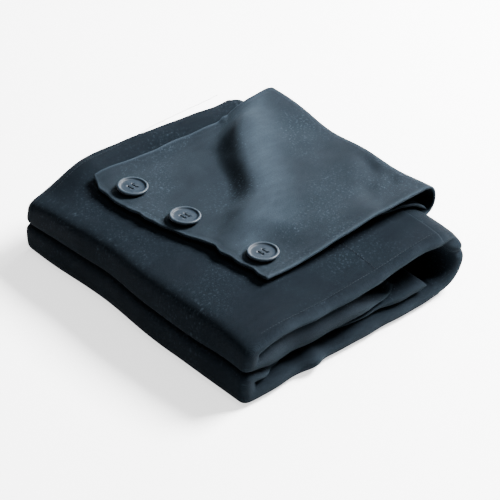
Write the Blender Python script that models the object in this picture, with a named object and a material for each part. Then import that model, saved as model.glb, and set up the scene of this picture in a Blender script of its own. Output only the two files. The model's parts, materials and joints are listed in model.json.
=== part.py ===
"""A folded far-infrared sauna blanket with a three-button flap, built as its separate pieces.

The blanket is a quilt. From the outside in it has a cover, wadding, a heating cable on a felt carrier,
and a lining. Both ends of the quilt are folded inwards at the front, and the two halves are then folded
over each other at the rear, so the stack has a lower fold, a rear fold and an upper fold. The end with
the buttons is turned back over the top as a flap.

Frame: metres, +Z up. X runs along the fold lines, -Y is the front with the two round folds, +Y is the
rear fold. The origin is the middle of the stack's footprint, on the surface that it lies on.
"""

import math

import bmesh
import bpy
import numpy as np

# Overall size of the folded stack.
STACK_WIDTH = 0.398
STACK_DEPTH = 0.342
GAP = 0.0003

# The quilt's layers, from the outside in.
COVER = 0.0020
WADDING = 0.0126
CABLE_DIAMETER = 0.0026
CARRIER = 0.0024
LINING = 0.0014
BINDING = 0.0060
BINDING_SHAPE = ((0.0, 0.0004), (0.55, 0.0014), (1.0, 0.0045))
FOLD_CLEARANCE = 0.0006

# Where the inner leaf of each fold ends, as a place along Y.
LOWER_FREE_EDGE_Y = 0.100
UPPER_FREE_EDGE_Y = 0.045

# The stack sags towards its left end, from this x: its share of height lost there.
SAG_X = -0.020
SAG = 0.045

# How much smaller the rear fold is than the stack, so that it rolls clear of the surface below.
REAR_EASE = 0.0010

# The heating cable: rows of this pitch, turned round at this distance from the side bindings.
ROW_PITCH = 0.050
ROW_MARGIN = 0.016
ROW_START = 0.6

# The flap, turned back over the top along a small round fold near the rear.
FLAP_COVER = 0.0018
FLAP_INTERLINING = 0.0010
FLAP_LINING = 0.0012
FLAP_FRONT_Y = -0.0975
FLAP_FRONT_LEAN = 0.10
FLAP_LEFT_X = -0.1515
FLAP_WIDTH = 0.290
FLAP_SKEW = 0.075
FLAP_ASKEW_ABOUT = 0.12
FLAP_FOLD_RADIUS = 0.0125
FLAP_FOLD_Y = 0.1565
FLAP_TAIL = 0.060

# The sewn buttons.
BUTTON_DIAMETER = 0.038
BUTTON_THICKNESS = 0.0048
BUTTON_RIM = 0.0042
BUTTON_DISH = 0.0018
BUTTON_HOLE = 0.0030
BUTTON_HOLE_SPACING = 0.0062
BUTTON_SHANK = 0.0055
BUTTON_EDGE_DISTANCE = 0.023
BUTTON_PLACES = (-0.1055, -0.0155, 0.0985)
BUTTON_SETBACKS = (0.001, -0.004, 0.0027)
BUTTON_LEANS = ((-0.74, 0.67, 7.0), (1.0, 0.0, -4.0), (1.0, 0.0, -2.0))
THREAD_DIAMETER = 0.0018
SHANK_DIAMETER = 0.0052
SHANK_FOOT = 0.0022
SHANK_FLARE = 0.0008
THREAD_PLATE = 0.0010

# The power inlet, in a pocket of the wadding at the left end of the lower fold.
INLET_Y = 0.080
INLET_WIDTH = 0.026
INLET_HEIGHT = 0.0092
INLET_LENGTH = 0.022
INLET_BOTTOM = 0.0028
FLANGE_THICKNESS = 0.0020
FLANGE_MARGIN = 0.0018
SOCKET_WIDTH = 0.019
SOCKET_HEIGHT = 0.0062
SOCKET_DEPTH = 0.013
CONTACT_SIZE = (0.0060, 0.0030, 0.0012)
CONTACT_PITCH = 0.0056
POCKET_LENGTH = 0.066
THERMOSTAT_SIZE = (0.015, 0.009, 0.006)
THERMOSTAT_ROUNDING = 0.0010
THERMOSTAT_TO_POCKET_END = 0.0020
THERMOSTAT_TO_CARRIER = 0.0001
HOUSING_IN_FLANGE = 0.0005
LEAD_DIAMETER = 0.0034
LEAD_POINTS = 6
SENSOR_DIAMETER = 0.0024
SENSOR_LENGTH = 0.008
SENSOR_PLACE_IN_ROWS = 1.1

# How finely round shapes are divided.
FOLD_STEPS = 10
HEM_STEPS = 4
FLAP_FOLD_STEPS = 8
REAR_STEPS = 12
FLAP_STEPS = 13
TURN_STEPS = 6
TURN_STEPS_OVER_BEND = 40
BUTTON_SEGMENTS = 28
SHANK_SEGMENTS = 16
WIRE_ROUNDNESS = 1
HOLE_SEGMENTS = 10
STRAND_SEGMENTS = 8

# Worked out from the sizes above.
HALF_WIDTH = STACK_WIDTH / 2
FRONT_Y = -STACK_DEPTH / 2
WADDING_AT = COVER + GAP
CABLE_AT = WADDING_AT + WADDING + GAP
CARRIER_AT = CABLE_AT + CABLE_DIAMETER + GAP
LINING_AT = CARRIER_AT + CARRIER + GAP
QUILT = LINING_AT + LINING
FOLD_HEIGHT = 2 * QUILT + FOLD_CLEARANCE
FOLD_RADIUS = FOLD_HEIGHT / 2
MIDDLE_Z = FOLD_HEIGHT + FOLD_CLEARANCE / 2
TOP_Z = 2 * MIDDLE_Z
REAR_RADIUS = MIDDLE_Z - REAR_EASE
REAR_Y = STACK_DEPTH / 2 - REAR_RADIUS
BEND_Y = FRONT_Y + FOLD_RADIUS
INNER_HALF_WIDTH = HALF_WIDTH - BINDING - GAP
FLAP_INTERLINING_AT = FLAP_COVER + GAP
FLAP_LINING_AT = FLAP_INTERLINING_AT + FLAP_INTERLINING + GAP
FLAP_THICKNESS = FLAP_LINING_AT + FLAP_LINING
FLAP_FOLD_Z = TOP_Z + GAP + FLAP_FOLD_RADIUS

COLOURS = {
    "navy_cloth": (0.030, 0.045, 0.062, 0.90),
    "white_fibre": (0.75, 0.74, 0.70, 0.95),
    "grey_felt": (0.32, 0.33, 0.35, 0.95),
    "black_cable": (0.02, 0.02, 0.022, 0.45),
    "coated_lining": (0.022, 0.030, 0.042, 0.60),
    "button_resin": (0.045, 0.065, 0.085, 0.30),
    "sewing_thread": (0.030, 0.040, 0.055, 0.80),
    "black_plastic": (0.015, 0.015, 0.017, 0.40),
    "contact_brass": (0.72, 0.56, 0.26, 0.30),
    "white_ceramic": (0.70, 0.68, 0.62, 0.50),
}


def smooth(t):
    """0 below 0, 1 above 1, and an S curve between."""
    t = np.clip(t, 0.0, 1.0)
    return t * t * (3 - 2 * t)


def height_scale(x):
    """How much of its full height the stack has at this x: less at the left end, where it sags."""
    return 1 - SAG * max(0.0, (SAG_X - x) / (SAG_X + HALF_WIDTH))


# ---------------------------------------------------------------- building blocks


def material(name):
    """A plain Principled material of that name."""
    found = bpy.data.materials.get(name)
    if found:
        return found
    red, green, blue, roughness = COLOURS[name]
    made = bpy.data.materials.new(name)
    made.use_nodes = True
    shader = made.node_tree.nodes["Principled BSDF"]
    shader.inputs["Base Color"].default_value = (red, green, blue, 1.0)
    shader.inputs["Roughness"].default_value = roughness
    shader.inputs["Metallic"].default_value = 1.0 if name == "contact_brass" else 0.0
    return made


def add_object(name, mesh, finish, parent=None):
    """An object of this mesh or curve, with its finish."""
    made = bpy.data.objects.new(name, mesh)
    bpy.context.scene.collection.objects.link(made)
    mesh.materials.append(material(finish))
    made.parent = parent
    return made


def add_joint(name, place):
    """A joint's frame: an empty with its origin on the joint's axis."""
    made = bpy.data.objects.new(name, None)
    bpy.context.scene.collection.objects.link(made)
    made.location = place
    return made


def hang(made, joint):
    """Gives a piece that is built in place to a joint's frame, without moving it."""
    made.parent = joint
    made.location = -joint.location


def hang_frame(frame, joint):
    """Gives one joint's frame to another, without moving it."""
    frame.location = frame.location - joint.location
    frame.parent = joint


def loft(name, rings, finish):
    """A solid through closed outlines that have the same number of points, with flat ends. The first half
    of an outline and its second half are split along the same diagonals, so that layers nest."""
    shape = bmesh.new()
    rows = [[shape.verts.new(point) for point in ring] for ring in rings]
    count = len(rows[0])
    for near, far in zip(rows, rows[1:]):
        for i in range(count):
            j = (i + 1) % count
            if i < count // 2:
                shape.faces.new((near[i], near[j], far[j]))
                shape.faces.new((near[i], far[j], far[i]))
            else:
                shape.faces.new((near[i], near[j], far[i]))
                shape.faces.new((near[j], far[j], far[i]))
    shape.faces.new(rows[0])
    shape.faces.new(rows[-1][::-1])
    bmesh.ops.recalc_face_normals(shape, faces=shape.faces)
    mesh = bpy.data.meshes.new(name)
    shape.to_mesh(mesh)
    shape.free()
    return add_object(name, mesh, finish)


def across_width():
    """Where the quilt's layers have an outline: at both ends, and where the sag starts."""
    return (-INNER_HALF_WIDTH, SAG_X, INNER_HALF_WIDTH)


def ring_at(x, outline):
    """An outline of (y, z) stood up at x, lowered there as the stack is."""
    return [(x, y, z * height_scale(x)) for y, z in outline]


def arc(centre, radius, start, end, steps=FOLD_STEPS):
    """Points on a circle in the YZ plane, angles in degrees from +Y towards +Z."""
    angles = np.radians(np.linspace(start, end, steps + 1))
    return [(centre[0] + radius * math.cos(a), centre[1] + radius * math.sin(a)) for a in angles]


def upside_down(outline):
    """The upper fold's outline: the lower fold's, mirrored in the plane between them."""
    return [(y, TOP_Z - z) for y, z in outline]


# ---------------------------------------------------------------- the two folds of the quilt


def folded_outline(near, far, free_y):
    """One layer of the lower fold, between two depths from its outer face: flat along the bottom, round
    the front bend, and back over the top as far as the free edge."""
    bend = (BEND_Y, FOLD_RADIUS)
    rear_y = REAR_Y - GAP
    outer = [(rear_y, near)] + arc(bend, FOLD_RADIUS - near, 270, 90) + [(free_y, FOLD_HEIGHT - near)]
    inner = [(rear_y, far)] + arc(bend, FOLD_RADIUS - far, 270, 90) + [(free_y, FOLD_HEIGHT - far)]
    return outer + inner[::-1]


def hem_outline(free_y):
    """The rounded strip that closes the quilt at the inner leaf's free edge."""
    low, high = FOLD_HEIGHT - QUILT, FOLD_HEIGHT
    round_off = BINDING / 2
    start = free_y + GAP
    tip = start + BINDING - round_off
    lower = arc((tip, low + round_off), round_off, 270, 360, HEM_STEPS)
    upper = arc((tip, high - round_off), round_off, 0, 90, HEM_STEPS)
    return [(start, low)] + lower + upper + [(start, high)]


def side_binding_rings(side, flip, free_y):
    """The strip sewn along a side edge of a fold. It rounds off towards its outer face."""
    rings = []
    for reach, inset in BINDING_SHAPE:
        outline = folded_outline(inset, QUILT - inset * 0.5, free_y + BINDING - inset)
        outline = upside_down(outline) if flip else outline
        rings.append(ring_at(side * (HALF_WIDTH - BINDING * (1 - reach)), outline))
    return rings


def cable_place(along):
    """(y, z) on the cable's layer of the lower fold, this far along it from the rear end."""
    depth = CABLE_AT + CABLE_DIAMETER / 2
    radius = FOLD_RADIUS - depth
    flat = REAR_Y - BEND_Y
    if along <= flat:
        return REAR_Y - along, depth
    turned = (along - flat) / radius
    if turned <= math.pi:
        return BEND_Y - radius * math.sin(turned), FOLD_RADIUS - radius * math.cos(turned)
    return BEND_Y + (along - flat - math.pi * radius), FOLD_HEIGHT - depth


def cable_route(flip, free_y):
    """The heating cable's course: straight rows across the width, joined by half turns. The half turn
    that goes over the front bend has more points than the others."""
    depth = CABLE_AT + CABLE_DIAMETER / 2
    bend_start = REAR_Y - BEND_Y
    bend_end = bend_start + math.pi * (FOLD_RADIUS - depth)
    rows = int((bend_end + free_y - BEND_Y) / ROW_PITCH)
    reach = INNER_HALF_WIDTH - ROW_MARGIN - ROW_PITCH / 2
    route = []
    for row in range(rows):
        along = ROW_PITCH * (row + ROW_START)
        side = 1 if row % 2 == 0 else -1
        route += [(x, along) for x in (-side * reach, SAG_X, side * reach)]
        if row == rows - 1:
            break
        over_bend = along < bend_end and along + ROW_PITCH > bend_start
        steps = TURN_STEPS_OVER_BEND if over_bend else TURN_STEPS
        for turn in np.linspace(0, math.pi, steps + 1)[1:-1]:
            swing = side * ROW_PITCH / 2 * math.sin(turn)
            route.append((side * reach + swing, along + ROW_PITCH / 2 * (1 - math.cos(turn))))
    points = []
    for x, along in route:
        y, z = cable_place(along)
        z = TOP_Z - z if flip else z
        points.append((x, y, z * height_scale(x)))
    return points


def tube(name, points, diameter, finish):
    """A round wire along points, with closed ends."""
    curve = bpy.data.curves.new(name, "CURVE")
    curve.dimensions = "3D"
    curve.bevel_depth = diameter / 2
    curve.bevel_resolution = WIRE_ROUNDNESS
    curve.use_fill_caps = True
    spline = curve.splines.new("POLY")
    spline.points.add(len(points) - 1)
    for knot, place in zip(spline.points, points):
        knot.co = (*place, 1.0)
    return add_object(name, curve, finish)


def quilted_fold(prefix, flip, free_y):
    """Cover, wadding, cable, carrier, lining, two side bindings and a hem, of one fold."""
    made = []
    place = upside_down if flip else list
    wide = across_width()
    layers = (
        ("cover", 0.0, COVER, "navy_cloth"),
        ("wadding", WADDING_AT, WADDING_AT + WADDING, "white_fibre"),
        ("heater_carrier", CARRIER_AT, CARRIER_AT + CARRIER, "grey_felt"),
        ("lining", LINING_AT, QUILT, "coated_lining"),
    )
    for layer, near, far, finish in layers:
        outline = place(folded_outline(near, far, free_y))
        made.append(loft(f"{prefix}_{layer}", [ring_at(x, outline) for x in wide], finish))
    hem = place(hem_outline(free_y))
    made.append(loft(f"{prefix}_free_edge_hem", [ring_at(x, hem) for x in wide], "navy_cloth"))
    for side, word in ((-1, "left"), (1, "right")):
        rings = side_binding_rings(side, flip, free_y)
        made.append(loft(f"{prefix}_side_binding_{word}", rings, "navy_cloth"))
    route = cable_route(flip, free_y)
    made.append(tube(f"{prefix}_heating_cable", route, CABLE_DIAMETER, "black_cable"))
    return made


# ---------------------------------------------------------------- the rear fold


def rear_outline(near, far):
    """One layer of the half-round fold at the rear, between two depths from its outer face."""
    centre = (REAR_Y, MIDDLE_Z)
    outer = arc(centre, REAR_RADIUS - near, -90, 90, REAR_STEPS)
    return outer + arc(centre, REAR_RADIUS - far, 90, -90, REAR_STEPS)


def rear_fold():
    """The part of the quilt that joins the two folds. It bends when the upper fold is opened."""
    wide = across_width()
    layers = (
        ("cover", 0.0, COVER, "navy_cloth"),
        ("wadding", WADDING_AT, WADDING_AT + WADDING, "white_fibre"),
        ("heater_carrier", CARRIER_AT, CARRIER_AT + CARRIER, "grey_felt"),
        ("lining", LINING_AT, QUILT, "coated_lining"),
    )
    for layer, near, far, finish in layers:
        outline = rear_outline(near, far)
        loft(f"rear_fold_{layer}", [ring_at(x, outline) for x in wide], finish)
    for side, word in ((-1, "left"), (1, "right")):
        rings = []
        for reach, inset in BINDING_SHAPE:
            x = side * (HALF_WIDTH - BINDING * (1 - reach))
            rings.append(ring_at(x, rear_outline(inset, QUILT - inset * 0.5)))
        loft(f"rear_fold_side_binding_{word}", rings, "navy_cloth")
    radius = REAR_RADIUS - CABLE_AT - CABLE_DIAMETER / 2
    lead_x = -HALF_WIDTH / 2
    course = arc((REAR_Y, MIDDLE_Z), radius, -90, 90, REAR_STEPS)
    points = [(lead_x, y, z * height_scale(lead_x)) for y, z in course]
    tube("rear_fold_lead", points, CABLE_DIAMETER, "black_cable")


# ---------------------------------------------------------------- the flap


def flap_front(x):
    """The y of the flap's front edge at this x. It isn't quite along the stack's front."""
    return FLAP_FRONT_Y + FLAP_FRONT_LEAN * x


def flap_edges(y):
    """The x of the flap's left and right edges at this y. The flap lies slightly askew."""
    left = FLAP_LEFT_X + FLAP_SKEW * (y - FLAP_FRONT_Y - FLAP_ASKEW_ABOUT)
    return left, left + FLAP_WIDTH


def flap_top(x, y):
    """The height of the flap's upper face: on the stack at the front edge, on the small fold at the rear."""
    front = TOP_Z * height_scale(x) + 2 * GAP + FLAP_THICKNESS
    rear = flap_fold_centre(x) + FLAP_FOLD_RADIUS
    return front + (rear - front) * smooth((y - flap_front(x)) / (FLAP_FOLD_Y - flap_front(x)))


def flap_fold_centre(x):
    """The height of the small fold's centre at this x."""
    return FLAP_FOLD_Z - TOP_Z * (1 - height_scale(x))


def flap_xs(y):
    """Where the flap's layers have an outline at this y: at both edges, and where the sag starts."""
    left, right = flap_edges(y)
    return left, SAG_X, right


def flap_leaf_ring(station, near, far):
    """The upper leaf, from the front edge to the start of the small fold."""
    upper = []
    front = flap_front(flap_xs(FLAP_FRONT_Y)[station])
    for y in np.linspace(front, FLAP_FOLD_Y - GAP, FLAP_STEPS):
        x = flap_xs(y)[station]
        upper.append((x, y, flap_top(x, y) - near))
    lower = [(x, y, z + near - far) for x, y, z in upper]
    return upper + lower[::-1]


def flap_fold_ring(station, near, far):
    """The small round fold, from the upper leaf down to the tail."""
    x = flap_xs(FLAP_FOLD_Y)[station]
    centre = (FLAP_FOLD_Y, flap_fold_centre(x))
    outer = arc(centre, FLAP_FOLD_RADIUS - near, 90, -90, FLAP_FOLD_STEPS)
    inner = arc(centre, FLAP_FOLD_RADIUS - far, -90, 90, FLAP_FOLD_STEPS)
    return [(x, y, z) for y, z in outer + inner]


def flap_tail_ring(station, near, far):
    """The tail under the upper leaf, which lies on the stack."""
    lower = []
    for y in (FLAP_FOLD_Y - GAP, FLAP_FOLD_Y - FLAP_TAIL):
        x = flap_xs(y)[station]
        lower.append((x, y, flap_fold_centre(x) - FLAP_FOLD_RADIUS + near))
    upper = [(x, y, z - near + far) for x, y, z in lower]
    return lower + upper[::-1]


def flap(fold_joint, hinge):
    """The flap's three layers, each in its upper leaf, its small fold and its tail."""
    layers = (
        ("cover", 0.0, FLAP_COVER, "navy_cloth"),
        ("interlining", FLAP_INTERLINING_AT, FLAP_INTERLINING_AT + FLAP_INTERLINING, "grey_felt"),
        ("lining", FLAP_LINING_AT, FLAP_THICKNESS, "navy_cloth"),
    )
    parts = (
        ("flap", flap_leaf_ring, hinge),
        ("flap_fold", flap_fold_ring, fold_joint),
        ("flap_tail", flap_tail_ring, fold_joint),
    )
    for layer, near, far, finish in layers:
        for part, ring, joint in parts:
            rings = [ring(station, near, far) for station in range(3)]
            hang(loft(f"{part}_{layer}", rings, finish), joint)


# ---------------------------------------------------------------- the buttons


def turned(name, profile, finish, parent, segments):
    """A solid turned about its own Z axis from a profile of (radius, height) that starts and ends on it."""
    shape = bmesh.new()
    first = shape.verts.new((0.0, 0.0, profile[0][1]))
    last = shape.verts.new((0.0, 0.0, profile[-1][1]))
    rows = []
    for angle in np.linspace(0, 2 * math.pi, segments, endpoint=False):
        cosine, sine = math.cos(angle), math.sin(angle)
        middle = [shape.verts.new((r * cosine, r * sine, z)) for r, z in profile[1:-1]]
        rows.append([first, *middle, last])
    for here, there in zip(rows, rows[1:] + rows[:1]):
        for i in range(len(profile) - 1):
            shape.faces.new(dict.fromkeys((here[i], there[i], there[i + 1], here[i + 1])))
    bmesh.ops.recalc_face_normals(shape, faces=shape.faces)
    mesh = bpy.data.meshes.new(name)
    shape.to_mesh(mesh)
    shape.free()
    return add_object(name, mesh, finish, parent)


def box(name, size, centre, finish, parent=None):
    """A rectangular block, by its size and centre."""
    shape = bmesh.new()
    bmesh.ops.create_cube(shape, size=1.0)
    bmesh.ops.scale(shape, vec=size, verts=shape.verts)
    bmesh.ops.translate(shape, vec=centre, verts=shape.verts)
    mesh = bpy.data.meshes.new(name)
    shape.to_mesh(mesh)
    shape.free()
    return add_object(name, mesh, finish, parent)


def cut(target, cutter):
    """Takes the cutter's shape out of the target, and keeps the cutter out of the model."""
    change = target.modifiers.new("cut", "BOOLEAN")
    change.operation = "DIFFERENCE"
    change.solver = "EXACT"
    change.object = cutter
    cutter.hide_render = True
    cutter.display_type = "WIRE"


def join(target, other):
    """Adds the other's shape to the target."""
    change = target.modifiers.new("join", "BOOLEAN")
    change.operation = "UNION"
    change.solver = "EXACT"
    change.object = other
    other.hide_render = True
    other.display_type = "WIRE"


def round_bar(name, radius, low, high, place, finish, parent, segments):
    """An upright round bar between two heights."""
    profile = [(0.0, low), (radius, low), (radius, high), (0.0, high)]
    bar = turned(name, profile, finish, parent, segments)
    bar.location = (place[0], place[1], 0.0)
    return bar


def button_disc(name, frame):
    """A four-hole coat button: a raised rim round a dished face, with a domed back."""
    radius = BUTTON_DIAMETER / 2
    low, high = BUTTON_SHANK, BUTTON_SHANK + BUTTON_THICKNESS
    edge = BUTTON_THICKNESS * 0.3
    dish = high - BUTTON_DISH
    profile = [
        (0.0, low),
        (radius * 0.55, low),
        (radius - edge, low + edge * 0.5),
        (radius, low + edge * 1.6),
        (radius, high - edge),
        (radius - edge * 0.5, high - edge * 0.2),
        (radius - BUTTON_RIM / 2, high),
        (radius - BUTTON_RIM * 0.85, high - edge * 0.4),
        (radius - BUTTON_RIM * 1.15, dish),
        (0.0, dish - BUTTON_DISH * 0.15),
    ]
    disc = turned(name, profile, "button_resin", frame, BUTTON_SEGMENTS)
    for number, (across, along) in enumerate(hole_places()):
        drill = round_bar(
            f"{name}_drill_{number}",
            BUTTON_HOLE / 2,
            low - BUTTON_THICKNESS,
            high + BUTTON_THICKNESS,
            (across, along),
            "button_resin",
            frame,
            HOLE_SEGMENTS,
        )
        cut(disc, drill)
    return disc


def hole_places():
    """The four holes' centres on the button's face."""
    half = BUTTON_HOLE_SPACING / 2
    return [(-half, -half), (half, -half), (half, half), (-half, half)]


def button_thread(name, frame):
    """The sewing: a wound shank under the button, four strands up through the holes, and two stitches
    across the face between them."""
    top = BUTTON_SHANK + BUTTON_THICKNESS - BUTTON_DISH + GAP
    joint = BUTTON_SHANK - GAP
    thread_low = joint - THREAD_PLATE
    radius = THREAD_DIAMETER / 2
    outer = SHANK_DIAMETER / 2
    plate = BUTTON_HOLE_SPACING / math.sqrt(2) + radius
    profile = [
        (0.0, 0.0),
        (SHANK_FOOT / 2, 0.0),
        (outer, SHANK_FLARE),
        (outer, thread_low - SHANK_FLARE),
        (plate, thread_low),
        (plate, joint),
        (0.0, joint),
    ]
    shank = turned(name, profile, "sewing_thread", frame, SHANK_SEGMENTS)
    for number, (across, along) in enumerate(hole_places()):
        strand = round_bar(
            f"{name}_strand_{number}",
            radius,
            thread_low + THREAD_PLATE / 2,
            top + radius,
            (across, along),
            "sewing_thread",
            frame,
            STRAND_SEGMENTS,
        )
        join(shank, strand)
    half = BUTTON_HOLE_SPACING / 2
    for number, along in enumerate((-half, half)):
        size = (BUTTON_HOLE_SPACING + THREAD_DIAMETER * 0.6, THREAD_DIAMETER * 0.9, THREAD_DIAMETER)
        stitch = box(f"{name}_stitch_{number}", size, (0.0, along, top + radius), "sewing_thread", frame)
        join(shank, stitch)
    return shank


def button(number, word, hinge):
    """A button and its thread, on a joint whose origin is where the shank meets the flap."""
    x = BUTTON_PLACES[number]
    y = flap_front(x) + BUTTON_EDGE_DISTANCE + BUTTON_SETBACKS[number]
    axis_x, axis_y, lean = BUTTON_LEANS[number]
    frame = add_joint(f"{word}_button_joint", (x, y, flap_top(x, y + SHANK_FOOT) + GAP))
    hang_frame(frame, hinge)
    frame.rotation_mode = "AXIS_ANGLE"
    frame.rotation_axis_angle = (math.radians(lean), axis_x, axis_y, 0.0)
    button_disc(f"{word}_button", frame)
    button_thread(f"{word}_button_thread", frame)


# ---------------------------------------------------------------- the power inlet and its pocket


def inlet():
    """The socket for the controller's plug, its contacts, the leads and the overheat thermostat."""
    outer_x = -HALF_WIDTH
    inner_x = outer_x + FLANGE_THICKNESS
    middle_z = INLET_BOTTOM + INLET_HEIGHT / 2
    body = box(
        "inlet_housing",
        (INLET_LENGTH, INLET_WIDTH, INLET_HEIGHT),
        (inner_x + INLET_LENGTH / 2 - HOUSING_IN_FLANGE, INLET_Y, middle_z),
        "black_plastic",
    )
    flange_size = (FLANGE_THICKNESS, INLET_WIDTH + 2 * FLANGE_MARGIN, INLET_HEIGHT + 2 * FLANGE_MARGIN)
    flange = box(
        "inlet_flange",
        flange_size,
        (outer_x + FLANGE_THICKNESS / 2, INLET_Y, middle_z),
        "black_plastic",
    )
    join(body, flange)
    socket = box(
        "inlet_socket",
        (2 * SOCKET_DEPTH, SOCKET_WIDTH, SOCKET_HEIGHT),
        (outer_x, INLET_Y, middle_z),
        "black_plastic",
    )
    cut(body, socket)
    for number, word in enumerate(("live", "neutral", "sensor")):
        contact_x = outer_x + SOCKET_DEPTH - GAP - CONTACT_SIZE[0] / 2
        contact_y = INLET_Y + (number - 1) * CONTACT_PITCH
        box(f"inlet_contact_{word}", CONTACT_SIZE, (contact_x, contact_y, middle_z), "contact_brass")
    pocket_end = outer_x + BINDING + POCKET_LENGTH
    housing_end = inner_x + INLET_LENGTH
    thermostat_x = pocket_end - THERMOSTAT_TO_POCKET_END - THERMOSTAT_SIZE[0] / 2
    thermostat_z = thermostat_height(thermostat_x)
    thermostat = box(
        "overheat_thermostat",
        THERMOSTAT_SIZE,
        (thermostat_x, INLET_Y, thermostat_z),
        "white_ceramic",
    )
    rounding = thermostat.modifiers.new("rounding", "BEVEL")
    rounding.width = THERMOSTAT_ROUNDING
    rounding.segments = 2
    lead_end = thermostat_x - THERMOSTAT_SIZE[0] / 2 - GAP
    run = np.linspace(0, 1, LEAD_POINTS)
    points = [
        (
            housing_end + GAP + (lead_end - housing_end - GAP) * t,
            INLET_Y,
            middle_z + (thermostat_z - middle_z) * float(smooth(t)),
        )
        for t in run
    ]
    tube("supply_lead", points, LEAD_DIAMETER, "black_cable")
    cut_inlet_pocket(outer_x, pocket_end, middle_z)


def thermostat_height(x):
    """The thermostat lies just under the heater carrier's cable layer."""
    return (WADDING_AT + WADDING) * height_scale(x) - THERMOSTAT_SIZE[2] / 2 - THERMOSTAT_TO_CARRIER


def cut_inlet_pocket(outer_x, pocket_end, middle_z):
    """Room for the inlet through the side binding, and a pocket for its parts in the wadding."""
    clearance = 2 * GAP
    flange_hole = box(
        "inlet_hole",
        (
            2 * (BINDING + clearance),
            INLET_WIDTH + 2 * (FLANGE_MARGIN + clearance),
            INLET_HEIGHT + 2 * (FLANGE_MARGIN + clearance),
        ),
        (outer_x, INLET_Y, middle_z),
        "navy_cloth",
    )
    cut(bpy.data.objects["lower_side_binding_left"], flange_hole)
    pocket = box(
        "inlet_pocket",
        (pocket_end - outer_x, INLET_WIDTH + 2 * clearance, 2 * QUILT),
        ((pocket_end + outer_x) / 2, INLET_Y, 0.0),
        "white_fibre",
    )
    cut(bpy.data.objects["lower_wadding"], pocket)


def temperature_sensor():
    """The bead that reads the upper fold's heat, beside a row of its cable."""
    y = REAR_Y - ROW_PITCH * SENSOR_PLACE_IN_ROWS
    z = TOP_Z - CABLE_AT - CABLE_DIAMETER / 2
    points = [(side * SENSOR_LENGTH / 2, y, z) for side in (-1, 0, 1)]
    return tube("temperature_sensor", points, SENSOR_DIAMETER, "white_ceramic")


# ---------------------------------------------------------------- the whole blanket


def main():
    """Clears the scene, then makes each piece in its place and hangs it on its joint."""
    for old in list(bpy.data.objects):
        bpy.data.objects.remove(old)
    quilted_fold("lower", False, LOWER_FREE_EDGE_Y)
    rear_fold()
    fold_joint = add_joint("upper_fold_joint", (0.0, REAR_Y, MIDDLE_Z))
    for made in quilted_fold("upper", True, UPPER_FREE_EDGE_Y) + [temperature_sensor()]:
        hang(made, fold_joint)
    hinge = add_joint("flap_joint", (0.0, FLAP_FOLD_Y, FLAP_FOLD_Z))
    flap(fold_joint, hinge)
    for number, word in enumerate(("left", "middle", "right")):
        button(number, word, hinge)
    hang_frame(hinge, fold_joint)
    inlet()


main()
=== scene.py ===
import json
import math

import bmesh
import bpy
import numpy as np
from mathutils import Matrix, Vector


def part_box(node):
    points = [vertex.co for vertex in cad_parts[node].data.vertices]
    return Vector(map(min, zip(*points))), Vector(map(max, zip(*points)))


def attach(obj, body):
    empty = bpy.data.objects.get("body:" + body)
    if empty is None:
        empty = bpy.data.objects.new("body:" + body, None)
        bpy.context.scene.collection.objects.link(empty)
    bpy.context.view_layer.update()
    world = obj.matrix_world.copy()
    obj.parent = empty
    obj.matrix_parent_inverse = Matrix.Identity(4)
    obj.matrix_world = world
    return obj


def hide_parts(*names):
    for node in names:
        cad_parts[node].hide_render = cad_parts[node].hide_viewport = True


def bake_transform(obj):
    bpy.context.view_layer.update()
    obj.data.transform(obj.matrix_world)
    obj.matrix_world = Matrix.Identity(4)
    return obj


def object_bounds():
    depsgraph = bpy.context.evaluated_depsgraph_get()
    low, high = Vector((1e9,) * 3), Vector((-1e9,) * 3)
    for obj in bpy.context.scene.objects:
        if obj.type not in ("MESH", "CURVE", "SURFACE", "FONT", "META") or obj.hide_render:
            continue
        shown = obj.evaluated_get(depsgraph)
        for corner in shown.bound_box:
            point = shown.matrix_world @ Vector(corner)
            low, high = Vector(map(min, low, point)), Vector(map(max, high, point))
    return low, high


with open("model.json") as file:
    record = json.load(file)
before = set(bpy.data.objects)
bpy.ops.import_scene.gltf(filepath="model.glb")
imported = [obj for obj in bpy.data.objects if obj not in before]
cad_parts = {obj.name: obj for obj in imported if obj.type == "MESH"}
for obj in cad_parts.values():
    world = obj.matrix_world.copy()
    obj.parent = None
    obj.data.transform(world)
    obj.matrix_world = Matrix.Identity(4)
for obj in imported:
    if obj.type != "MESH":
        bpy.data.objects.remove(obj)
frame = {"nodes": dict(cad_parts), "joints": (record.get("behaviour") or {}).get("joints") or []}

cad_box = [list(corner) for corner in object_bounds()]
joints = {joint["name"]: joint for joint in frame["joints"]}


# ---------------------------------------------------------------- camera
# The blanket is looked at over its front right corner, from far away with a long lens, so that its
# edges stay almost parallel.

AZIMUTH, ELEVATION = math.radians(48.0), math.radians(35.1)
REACH = 2.838
SENSOR_WIDTH = 36.0
VIEW_ANGLE = math.radians(12.0)
AIM_RIGHT, AIM_UP = 0.0055, 0.0222

back = Vector(
    (math.sin(AZIMUTH) * math.cos(ELEVATION), -math.cos(AZIMUTH) * math.cos(ELEVATION), math.sin(ELEVATION))
)
rightward = Vector((math.cos(AZIMUTH), math.sin(AZIMUTH), 0.0))
camera = bpy.data.objects.new("camera", bpy.data.cameras.new("camera"))
bpy.context.scene.collection.objects.link(camera)
camera.data.sensor_width = SENSOR_WIDTH
camera.data.lens = SENSOR_WIDTH / 2 / math.tan(VIEW_ANGLE / 2)
camera.data.clip_end = 50.0
camera.location = rightward * AIM_RIGHT + back.cross(rightward) * AIM_UP + back * REACH
camera.rotation_mode = "QUATERNION"
camera.rotation_quaternion = (-back).to_track_quat("-Z", "Y")
bpy.context.scene.camera = camera


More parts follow.
